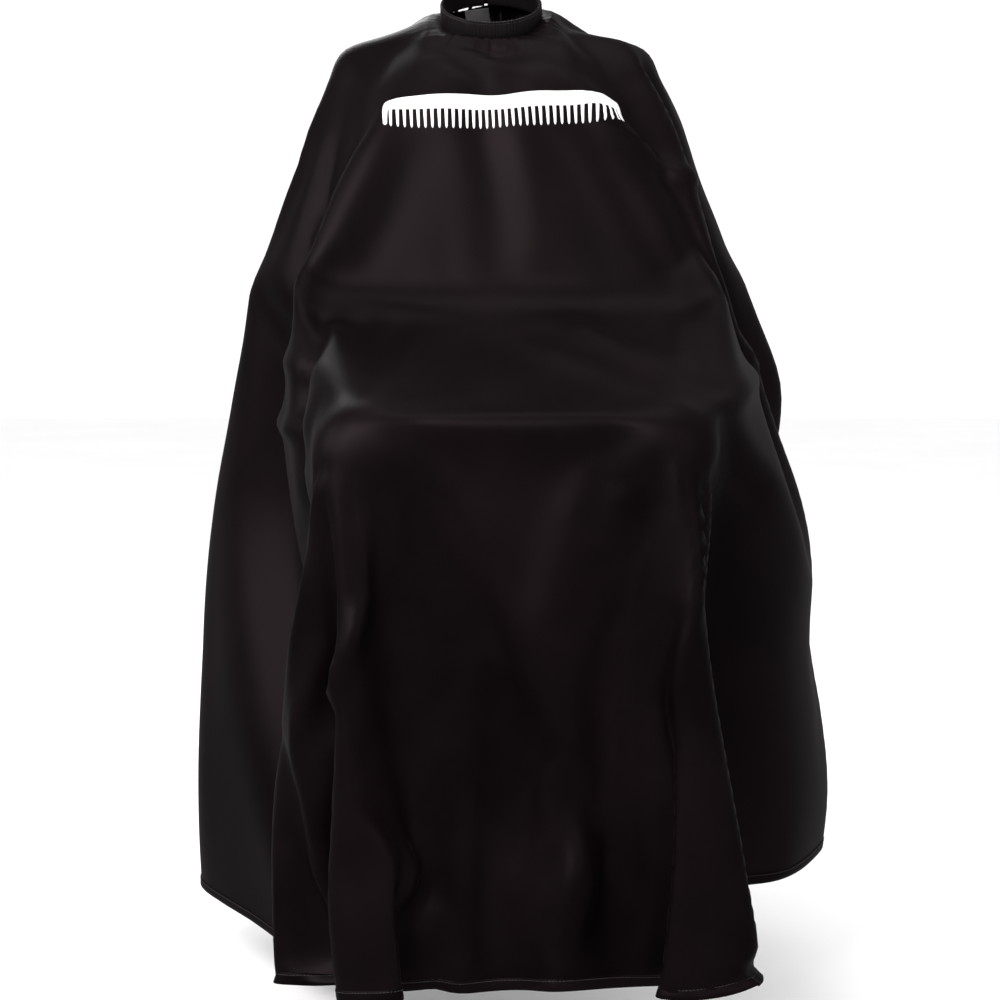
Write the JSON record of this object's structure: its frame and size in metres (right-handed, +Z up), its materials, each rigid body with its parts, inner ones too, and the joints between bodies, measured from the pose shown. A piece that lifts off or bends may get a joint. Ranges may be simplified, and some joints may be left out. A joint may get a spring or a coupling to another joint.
{
  "type": "barber cape",
  "caption": "Black satin barber cape as draped on a seated wearer, with an elastic neckband, a snap tail at the nape, a hanging loop and a plain comb print.",
  "frame": {"origin": "centre of the neck opening, in the middle of the neckband's height", "axes": "+Z up, the wearer faces -Y, +X towards the wearer's left"},
  "size_m": [0.7283, 0.7905, 1.0489],
  "materials": {
    "cape_cloth": "black satin-weave polyester, warm tint, soft sheen",
    "band_cloth": "black polyester, two layers, top-stitched",
    "gathered_casing": "black polyester, finely gathered",
    "elastic": "woven rubber elastic",
    "snap_resin": "black resin snap fasteners",
    "loop_tape": "black narrow woven tape",
    "label_cloth": "dark satin ribbon, blank",
    "print_film": "white transfer print film"
  },
  "bodies": {
    "cape": {"chest_cloth": "cape_cloth", "lap_cloth": "cape_cloth", "front_cloth": "cape_cloth", "right_shoulder_cloth": "cape_cloth", "right_arm_cloth": "cape_cloth", "right_side_cloth": "cape_cloth", "right_back_cloth": "cape_cloth", "left_shoulder_cloth": "cape_cloth", "left_arm_cloth": "cape_cloth", "left_side_cloth": "cape_cloth", "left_back_cloth": "cape_cloth", "neckband_right": "band_cloth", "neckband_left": "band_cloth", "tail_seam": "band_cloth", "elastic_casing": "gathered_casing", "neck_elastic": "elastic", "band_snap_studs": "snap_resin", "care_label": "label_cloth", "chest_print": "print_film"},
    "closure_tail": {"closure_tail": "band_cloth", "tail_snap_sockets": "snap_resin", "tail_snap_caps": "snap_resin"},
    "hanging_loop": {"hanging_loop": "loop_tape"}
  },
  "joints": [
    {"name": "tail_peel", "type": "hinge", "parent": "cape", "child": "closure_tail", "pos_m": [-0.00763, 0.05486, 0.02917], "axis": [0, -0.4695, 0.8829], "range_deg": [0, 90]},
    {"name": "loop_swing", "type": "hinge", "parent": "cape", "child": "hanging_loop", "pos_m": [-0.03179, 0.05056, 0.01329], "axis": [0.848, 0.4679, 0.2488], "range_deg": [0, 110]}
  ]
}
